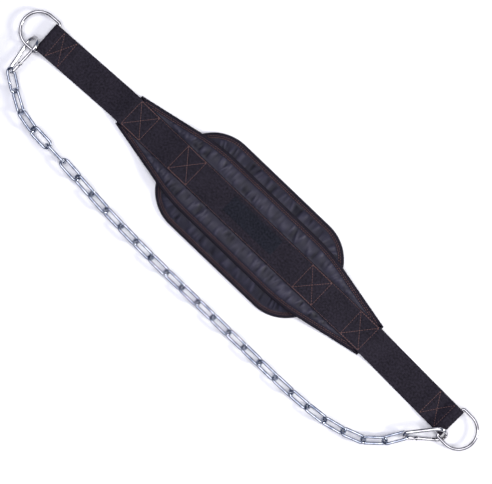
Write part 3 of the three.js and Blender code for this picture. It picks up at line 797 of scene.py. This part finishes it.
def strap_half(side):
    """Half of the webbing's middle line as (distance from the middle, height): over the panel, down
    to the table, up over its own end, round the ring's bar and back."""
    bar = ring_bar(side)
    low = WEBBING_THICKNESS / 2
    lift = TAPE_TOP + LAYER_GAP + low
    over = np.linspace(0.5, PANEL_LENGTH / 2, 240)
    reach, end = abs(bar[0]), PANEL_LENGTH / 2
    overlap = FOLD_BACK - LOOP_RADIUS
    stacked = low + WEBBING_THICKNESS + LAYER_GAP
    outward_part = [
        [end + 2, panel_level(end) + lift], [end + 16, low + 2.6], [end + 32, low],
        [reach - overlap - 14, low], [reach - overlap - 2, stacked],
        [reach - overlap * 0.55, stacked + 0.5],
        [reach - overlap * 0.2, bar[2] + LOOP_RADIUS - 0.8],
    ]
    angle = np.radians(np.linspace(90, -90, 25))
    loop = np.column_stack([reach + LOOP_RADIUS * np.cos(angle),
                            bar[2] + LOOP_RADIUS * np.sin(angle)])
    back = [
        [reach - overlap * 0.2, bar[2] - LOOP_RADIUS - 0.8], [reach - overlap * 0.55, low + 0.4],
        [reach - overlap, low],
    ]
    return np.vstack([np.column_stack([over, panel_level(over) + lift]), outward_part, loop, back])


def softened(line, reach_mm, step):
    """A line smoothed by the average of its neighbours under a bell curve; its ends stay."""
    size = int(3 * reach_mm / step)
    bell = np.exp(-0.5 * (np.arange(-size, size + 1) * step / reach_mm) ** 2)
    bell /= bell.sum()
    head = 2 * line[0] - line[1:size + 1][::-1]
    tail = 2 * line[-1] - line[-size - 1:-1][::-1]
    padded = np.vstack([head, line, tail])
    smooth = [np.convolve(padded[:, k], bell, mode="valid") for k in range(line.shape[1])]
    return np.stack(smooth, axis=1)


def strap_line():
    """The webbing's whole middle line in the (x, z) plane, from its left end to its right end."""
    left = strap_half("left") * [-1, 1]
    line = np.vstack([left[::-1], strap_half("right")])
    return softened(evenly(line, 1.0), 1.3, 1.0)


STRAP_LINE = strap_line()


def strap_top(x):
    """Height of the webbing's upper face at a place along the belt."""
    first, last = np.argmin(STRAP_LINE[:, 0]), np.argmax(STRAP_LINE[:, 0])
    line = STRAP_LINE[first:last + 1]
    return np.interp(x, line[:, 0], line[:, 1]) + WEBBING_THICKNESS / 2


def strap_place(x, y):
    """The point of the webbing's upper face at a distance along the belt and across the webbing."""
    across = strap_across(x)
    flat = np.stack([x, strap_stray(x)], axis=-1) + across * np.asarray(y)[..., None]
    return np.concatenate([flat, strap_top(x)[..., None]], axis=-1)


def nearest(points, ends):
    """Distance from each point to the nearest of some straight lines, given by their two ends."""
    a, b = ends[:, 0], ends[:, 1]
    line = b - a
    share = np.einsum("pk,lk->pl", points, line) - np.einsum("lk,lk->l", a, line)
    share = np.clip(share / np.einsum("lk,lk->l", line, line), 0, 1)
    gap = points[:, None, :] - (a[None] + share[:, :, None] * line[None])
    return np.sqrt(np.einsum("plk,plk->pl", gap, gap).min(axis=1))


def box_lines(start, end, has_sides):
    """The lines of one sewn box on the webbing: two ends, a cross, and sides if it has any."""
    w = BOX_HALF_WIDTH
    ends = [[(start, -w), (start, w)], [(end, -w), (end, w)]]
    cross = [[(start, -w), (end, w)], [(start, w), (end, -w)]]
    sides = [[(start, -w), (end, -w)], [(start, w), (end, w)]]
    return ends + cross + (sides if has_sides else [])


def box_seams():
    """The lines of all the sewn boxes as their two ends, along and across. The boxes at the rings
    have no sides."""
    lines = [line for box in STRAP_BOXES for line in box_lines(*box, True)]
    lines += [line for box in RING_BOXES for line in box_lines(*box, False)]
    return np.array(lines, dtype=float)


def row_seams():
    """The two rows along the webbing's edges, over the panel."""
    first, last = STRAP_BOXES[0][0], STRAP_BOXES[-1][1]
    rows = [[(first, y), (last, y)] for y in (-STRAP_ROW, STRAP_ROW)]
    return np.array(rows, dtype=float)


def webbing_strap():
    """One strip of webbing: a flat section with rounded edges carried along the middle line. Its
    upper face dips under each seam, by a bell curve of the distance to the seam."""
    half_w, half_t = WEBBING_WIDTH / 2, WEBBING_THICKNESS / 2
    edge = np.linspace(-math.pi / 2, math.pi / 2, 7)
    flat = np.linspace(-half_w + half_t, half_w - half_t, 42)[1:-1]
    section = np.concatenate([
        np.column_stack([half_w - half_t + half_t * np.cos(edge), half_t * np.sin(edge)]),
        np.column_stack([flat[::-1], np.full(40, half_t)]),
        np.column_stack([-half_w + half_t - half_t * np.cos(edge), -half_t * np.sin(edge)]),
        np.column_stack([flat, np.full(40, -half_t)]),
    ])
    line = STRAP_LINE
    along = directions(line)
    normal = np.column_stack([-along[:, 1], along[:, 0]])
    across = strap_across(line[:, 0])
    middle = np.column_stack([line[:, 0], strap_stray(line[:, 0]), line[:, 1]])
    side = np.column_stack([across, np.zeros(len(line))])
    up = np.column_stack([normal[:, 0], np.zeros(len(line)), normal[:, 1]])
    place = every_pair(line[:, 0], section[:, 0])
    from_seam = nearest(place, np.vstack([box_seams(), row_seams()])).reshape(len(line), -1)
    dip = SEAM_DIP * np.exp(-((from_seam / SEAM_REACH) ** 2))
    rise = section[None, :, 1] - dip * (section[None, :, 1] > 0.9 * half_t)
    points = middle[:, None] + side[:, None] * section[None, :, :1] + up[:, None] * rise[:, :, None]
    points = points.reshape(-1, 3)
    uv = every_pair(run_along(line), section[:, 0])
    faces = grid_faces(len(line), len(section))
    body = np.concatenate([faces, end_caps(len(line), len(section))])
    return piece("belt_webbing", points, outward(points, body), WEBBING, "belt",
                 ["webbing_strap"], uv=uv, crease=50)


def end_caps(rows, columns):
    """Quads that close both ends of a flat section, between points that face each other."""
    half = columns // 2
    j = np.arange(half - 1)
    first = np.stack([j, j + 1, columns - 2 - j, columns - 1 - j], axis=1)
    last = first[:, ::-1] + (rows - 1) * columns
    return np.concatenate([first, last])


def woven_patch():
    """A plain woven patch on the webbing's middle, left bare: a low slab whose edge falls as a
    quarter circle."""
    x = np.linspace(*PATCH_X, 100)
    y = np.linspace(*PATCH_Y, 30)
    gx, gy = np.meshgrid(x, y, indexing="ij")
    inset = np.minimum(np.minimum(gx - x[0], x[-1] - gx), np.minimum(gy - y[0], y[-1] - gy))
    rise = PATCH_THICKNESS * np.sqrt(1 - (1 - np.clip(inset / PATCH_EDGE, 0, 1)) ** 2)
    level = strap_top(gx) + 0.03
    top = np.stack([gx, gy, level + rise], axis=2).reshape(-1, 3)
    low = np.stack([gx, gy, level], axis=2).reshape(-1, 3)
    points = np.vstack([top, low])
    faces = outward(points, slab_faces(len(x), len(y)))
    return piece("bare_woven_patch", points, faces, PATCH, "belt",
                 uv=points[:, :2])


# Stitches


def stitches(name, middles, along, thread):
    """Short threads, each arched out of the cloth and diving back in at both ends. A stitch is a
    six-sided tube whose height is a half sine of its length; all are placed at once."""
    rings, sides, flattened = 7, 6, 0.8
    share = np.linspace(0, 1, rings)
    angle = np.linspace(0, 2 * math.pi, sides, endpoint=False)
    girth = thread / 2 * np.sqrt(np.clip(1 - (2 * share - 1) ** 4, 0, 1))
    arch = STITCH_ARCH * np.sin(math.pi * share) - STITCH_SINK
    local_x = np.repeat((share - 0.5) * STITCH, sides)
    local_y = (girth[:, None] * np.cos(angle)).ravel()
    local_z = (girth[:, None] * np.sin(angle) * flattened).ravel() + np.repeat(arch, sides)
    along = along / np.linalg.norm(along, axis=1, keepdims=True)
    up = np.tile([0.0, 0.0, 1.0], (len(middles), 1))
    side = np.cross(up, along)
    side /= np.linalg.norm(side, axis=1, keepdims=True)
    points = (middles[:, None] + along[:, None] * local_x[None, :, None]
              + side[:, None] * local_y[None, :, None] + up[:, None] * local_z[None, :, None])
    shift = (np.arange(len(middles)) * rings * sides)[:, None, None]
    faces = (grid_faces(rings, sides)[None] + shift).reshape(-1, 4)
    points = points.reshape(-1, 3)
    return piece(name, points, outward(points, faces), COPPER_THREAD, "belt")


def along_lines(lines):
    """Stitch middles and directions on open lines of 3-D points, one stitch each pitch."""
    middles, along = [], []
    for line in lines:
        even = evenly(line, STITCH_PITCH)
        middles.append((even[1:] + even[:-1]) / 2)
        along.append(even[1:] - even[:-1])
    return np.vstack(middles), np.vstack(along)


def strap_stitching(name, seams, thread):
    """Stitches on the webbing's upper face, sunk a little into it."""
    lines = []
    for (x0, y0), (x1, y1) in seams:
        share = np.linspace(0, 1, max(20, int(math.hypot(x1 - x0, y1 - y0))))
        line = strap_place(x0 + (x1 - x0) * share, y0 + (y1 - y0) * share)
        line[:, 2] -= 0.15
        lines.append(line)
    return stitches(name, *along_lines(lines), thread)


def panel_row(inset):
    """A row of stitches round the front panel, on its tape. The webbing covers it at both ends."""
    x = np.linspace(-PANEL_LENGTH / 2 + inset, PANEL_LENGTH / 2 - inset, 500)
    y = panel_inset(x, inset)
    lines = [np.column_stack([x, sign * y, panel_level(x) + TAPE_TOP]) for sign in (-1, 1)]
    return [line[y > WEBBING_WIDTH / 2 + 0.8] for line in lines]


def pad_row(inset):
    """A row of stitches round the back pad, on its tape."""
    line = pad_outline(inset)
    line = np.vstack([line, line[:1]])
    return [np.column_stack([line, np.full(len(line), TAPE_TOP)])]


# Rings, hooks and chain


def d_ring(side):
    """A D ring of wire: a half circle, two short sides, rounded corners and a straight bar."""
    quarter = math.pi / 2
    w, c = RING_HALF_WIDTH, RING_CORNER
    line = np.vstack([
        arc(RING_SIDE, 0, w, -quarter, quarter),
        arc(c, w - c, c, quarter, 2 * quarter, 0.8),
        arc(c, c - w, c, 2 * quarter, 3 * quarter, 0.8),
    ])
    points, faces = bent_wire(evenly(line, 1.2, closed=True), RING_WIRE / 2, sides=24)
    turn = turned(2, RING_TURN[side]) @ turned(1, RING_PITCH[side])
    points = points @ turn.T + ring_bar(side)
    # The ring wire wears the darker copy of the nickel, painted shade for its dark reflections.
    return piece(f"ring_wire_{side}", points, faces, SHADED_RING_NICKEL, "belt",
                 [f"d_ring_{side}"])


def hook_frame():
    """Centres of the hook's two bends, the lean of its legs, the gate leg's direction and pivot."""
    narrow = HOOK_WIRE / 2 + HOOK_NARROW
    wide = HOOK_LENGTH - HOOK_WIRE / 2 - HOOK_WIDE
    lean = math.asin((HOOK_WIDE - HOOK_NARROW) / (wide - narrow))
    leg = np.array([narrow - HOOK_NARROW * math.sin(lean), -HOOK_NARROW * math.cos(lean)])
    along = np.array([math.cos(lean), -math.sin(lean)])
    pivot = leg + along * (GATE_PIVOT - leg[0]) / along[0]
    return narrow, wide, lean, along, pivot


def placed_hook(points, side):
    """Points of a hook's own plane, turned and moved to where that hook lies."""
    place = HOOK_PLACE[side]
    turn = turned(2, place["heading"]) @ turned(1, -place["pitch"]) @ turned(0, place["roll"])
    bar = ring_bar(side)
    tip = [bar[0] + place["from_bar"][0], bar[1] + place["from_bar"][1], place["height"]]
    return points @ turn.T + np.array(tip)


def plate(from_point, along, reach, height, thickness):
    """A flat tongue: a strip with a round end, drawn as its outline at two heights."""
    half = height / 2
    angle = np.linspace(-math.pi / 2, math.pi / 2, 13)
    end = np.column_stack([reach - half + half * np.cos(angle), half * np.sin(angle)])
    outline = np.vstack([[0, -half], end, [0, half]])
    side = np.array([-along[1], along[0]])
    flat = from_point + outline[:, :1] * along + outline[:, 1:] * side
    count = len(flat)
    low = np.column_stack([flat, np.full(count, -thickness / 2)])
    high = np.column_stack([flat, np.full(count, thickness / 2)])
    wall = [[i, (i + 1) % count, count + (i + 1) % count, count + i] for i in range(count)]
    caps = [list(range(count))[::-1], list(range(count, 2 * count))]
    return np.vstack([low, high]), wall + caps


def loose(points, faces):
    """A closed shape that only helps to make another."""
    obj = mesh_object("shape", points, faces)
    close_seams(obj)
    return obj


def combined(obj, others):
    """One mesh from several: each other one is joined to it or cut from it."""
    for other, operation in others:
        cut = obj.modifiers.new("shape", "BOOLEAN")
        cut.operation, cut.object, cut.solver = operation, other, "EXACT"
    evaluated = obj.evaluated_get(bpy.context.evaluated_depsgraph_get())
    shape = bpy.data.meshes.new_from_object(evaluated)
    for other, _ in others:
        bpy.data.objects.remove(other)
    points = np.empty(len(shape.vertices) * 3)
    shape.vertices.foreach_get("co", points)
    bpy.data.objects.remove(obj)
    return shape, points.reshape(-1, 3) / MM


def cylinder(middle, radius, length, sides=32, dome=0.0):
    """A pin standing across the hook's plane, with its ends domed by a share of its radius."""
    angle = np.linspace(0, 2 * math.pi, sides, endpoint=False)
    end = length / 2
    rings = [(0.0, -end - dome), (radius * 0.6, -end - dome * 0.75), (radius, -end)]
    rings += [(r, -z) for r, z in rings[::-1]]
    r, z = np.array(rings).T[:, :, None]
    flat = [middle[0] + r * np.cos(angle), middle[1] + r * np.sin(angle)]
    points = np.stack([*flat, np.repeat(z, sides, axis=1)], axis=2).reshape(-1, 3)
    return points, outward(points, grid_faces(len(rings), sides))


def finished(name, shape, points, body, node):
    """A plated piece from a combined mesh, with its points moved to where it lies."""
    shape.name = name
    shape.vertices.foreach_set("co", (points * MM).ravel())
    shape.update()
    return dressed(in_scene(name, shape), NICKEL, body, [node], crease=35)


def rivet_hole(pivot):
    """A pin with the rivet's play, to be cut out."""
    return loose(*cylinder(pivot, (RIVET + 2 * CLEARANCE) / 2, 2 * HOOK_WIRE)), "DIFFERENCE"


def snap_hook(side):
    """The hook's bent wire with a flat tongue at each end, its gate, slotted over each tongue, and
    the rivet that the gate turns on."""
    narrow, wide, lean, along, pivot = hook_frame()
    right = math.pi / 2
    swing = math.hypot(GATE_WIRE / 2, GATE_WIRE / 2) + 2 * CLEARANCE
    start = pivot - along * swing
    nose = pivot + along * (GATE_LENGTH + NOSE_GAP)
    line = np.vstack([
        start,
        arc(narrow, 0, HOOK_NARROW, -right - lean, -3 * right + lean, 0.8),
        arc(wide, 0, HOOK_WIDE, right + lean, -right - lean, 1.2),
        nose,
    ])
    line = evenly(line, 1.0)
    wire = loose(*bent_wire(line, HOOK_WIRE / 2, sides=24, closed=False))
    height = GATE_WIRE - TONGUE_NARROWER
    root = along * TONGUE_ROOT
    tongues = [
        plate(start - root, along, TONGUE_ROOT + swing + height / 2, height, TONGUE_THICKNESS),
        plate(nose + root, -along, NOSE_TONGUE, height, TONGUE_THICKNESS),
    ]
    tongues = [(loose(*tongue), "UNION") for tongue in tongues]
    shape, points = combined(wire, [*tongues, rivet_hole(pivot)])
    finished(f"hook_wire_{side}", shape, placed_hook(points, side), "belt", f"snap_hook_{side}")

    rod_line = np.vstack([pivot - along * GATE_WIRE / 2, pivot + along * GATE_LENGTH])
    rod = loose(*bent_wire(evenly(rod_line, 1.0), GATE_WIRE / 2, sides=24, closed=False))
    slot_half = TONGUE_THICKNESS / 2 + CLEARANCE
    slots = []
    for low, high in ((-GATE_WIRE, swing + 1), (GATE_LENGTH - NOSE_SLOT, GATE_LENGTH + GATE_WIRE)):
        slots.append((loose(*slot_box(pivot, along, low, high, slot_half)), "DIFFERENCE"))
    shape, points = combined(rod, [*slots, rivet_hole(pivot)])
    finished(f"gate_rod_{side}", shape, placed_hook(points, side), f"gate_{side}",
             f"snap_hook_gate_{side}")

    points, faces = cylinder(pivot, RIVET / 2, GATE_WIRE + RIVET_STANDS_OUT, dome=RIVET_DOME)
    piece(f"rivet_{side}", placed_hook(points, side), faces, RIVET_STEEL, "belt",
          [f"gate_rivet_{side}"])


def slot_box(pivot, along, low, high, half):
    """A box along the gate, as deep as the slot is wide."""
    side = np.array([-along[1], along[0]])
    corners = []
    for z in (-half, half):
        for a, b in ((low, -1), (high, -1), (high, 1), (low, 1)):
            corners.append([*(pivot + along * a + side * b * GATE_WIRE), z])
    faces = [[3, 2, 1, 0], [4, 5, 6, 7], [0, 1, 5, 4], [1, 2, 6, 5], [2, 3, 7, 6], [3, 0, 4, 7]]
    return np.array(corners), faces


def link_places():
    """Middle and axes of each chain link, from its solid: the middle of its corners, and the three
    directions in which they spread most, next and least."""
    places = []
    for number in range(1, LINK_COUNT + 1):
        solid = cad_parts[f"chain_link_{number:02d}"].data
        corners = np.empty(len(solid.vertices) * 3)
        solid.vertices.foreach_get("co", corners)
        corners = np.unique(np.round(corners.reshape(-1, 3) / MM, 3), axis=0)
        middle = corners.mean(axis=0)
        _, _, axes = np.linalg.svd(corners - middle, full_matrices=False)
        axes *= np.sign(axes[0, 0]) or 1
        length = np.ptp((corners - middle) @ axes[0])
        places.append((middle, axes, length))
    return places


def chain():
    """Long links of round wire: two half circles and two straight sides, with the butt weld swollen
    by a bell curve on one side. The solids' bends have corners each fifth of a half circle, and
    their wire has six sides, so the round wire's bends start a little further out."""
    radius = (LINK_WIDTH - LINK_WIRE) / 2
    right = math.pi / 2
    for number, (middle, axes, length) in enumerate(link_places(), start=1):
        reach = length / 2 - radius * math.cos(right / 5) - LINK_WIRE / 2 * math.cos(right / 3)
        bends = [arc(reach, 0, radius, -right, right, 0.8),
                 arc(-reach, 0, radius, right, 3 * right, 0.8)]
        line = evenly(np.vstack(bends), 0.9, closed=True)
        weld_side = 1 if number % 2 else -1
        weld = np.hypot(line[:, 0] - WELD_PLACE, line[:, 1] - weld_side * radius)
        waist = WAIST_DEPTH * np.exp(-(((weld - WAIST_PLACE) / WAIST_REACH) ** 2))
        swell = 1 + WELD_SWELL * np.exp(-((weld / WELD_REACH) ** 2)) - waist
        points, faces = bent_wire(line, LINK_WIRE / 2, sides=18, swell=swell)
        points = points @ axes + middle
        piece(f"link_wire_{number:02d}", points, outward(points, faces), ZINC, "belt",
              [f"chain_link_{number:02d}"])


front_panel()
back_pad()
binding("front_panel_tape", panel_rim(), panel_level, "front_panel_binding")
binding("back_pad_tape", pad_outline(0.0), np.zeros_like, "back_pad_binding")
webbing_strap()
woven_patch()
strap_stitching("box_stitching", box_seams(), BOX_THREAD)
strap_stitching("row_stitching", row_seams(), ROW_THREAD)
for row, (inset, thread) in enumerate(TAPE_ROWS, start=1):
    stitches(f"panel_stitching_{row}", *along_lines(panel_row(inset)), thread)
    stitches(f"pad_stitching_{row}", *along_lines(pad_row(inset)), thread)
for end in ("left", "right"):
    d_ring(end)
    snap_hook(end)
chain()


# Table, light and camera


def table_top():
    """A plain pale table under the belt."""
    w = 6000
    obj = mesh_object("table", [(-w, -w, 0), (w, -w, 0), (w, w, 0), (-w, w, 0)], [(0, 1, 2, 3)])
    obj.location.z = -0.2 * MM
    material, _, shader = finish_of("white paper", Roughness=0.9)
    shader.inputs["Base Color"].default_value = linear("#f6f6f9")
    obj.data.materials.append(material)


def soft_light(name, place, size, power, colour):
    """A square soft box that faces the belt."""
    lamp = bpy.data.lights.new(name, "AREA")
    lamp.shape, lamp.size, lamp.energy, lamp.color = "SQUARE", size, power, linear(colour)[:3]
    obj = in_scene(name, lamp)
    obj.location = place
    obj.rotation_mode = "QUATERNION"
    obj.rotation_quaternion = (-Vector(place)).to_track_quat("-Z", "Y")


def studio():
    """A dim room with a bright ceiling, and a soft box beside the belt."""
    world = bpy.data.worlds.new("studio")
    bpy.context.scene.world = world
    world.use_nodes = True
    tree = world.node_tree
    place = add(tree, "TexCoord").outputs["Generated"]
    height = add(tree, "SeparateXYZ", {"Vector": place}).outputs["Z"]
    ramp = add(tree, "ValToRGB", {"Fac": height})
    low, high = ramp.color_ramp.elements
    low.position, low.color = 0.8, linear("#282d3b")
    high.position, high.color = 0.93, linear("#fbfaff")
    tree.links.new(ramp.outputs["Color"], tree.nodes["Background"].inputs["Color"])
    tree.nodes["Background"].inputs["Strength"].default_value = 3.5
    soft_light("key", (3.6, 1.76, 2.3), 1.0, 135, "#fffdf6")


def camera():
    """Straight above, turned so that the belt runs down the picture from the upper left."""
    data = bpy.data.cameras.new("camera")
    data.sensor_width, data.lens = 36, 180
    obj = in_scene("camera", data)
    distance = PICTURE_WIDTH * MM_PER_PIXEL * MM * data.lens / data.sensor_width
    obj.location = (13.5 * MM, -21.8 * MM, 8 * MM + distance)
    obj.rotation_euler = (0, 0, math.radians(43.75))
    data.clip_start, data.clip_end = 0.1, 30
    bpy.context.scene.camera = obj


table_top()
studio()
camera()
bpy.context.scene.view_settings.view_transform = "Standard"
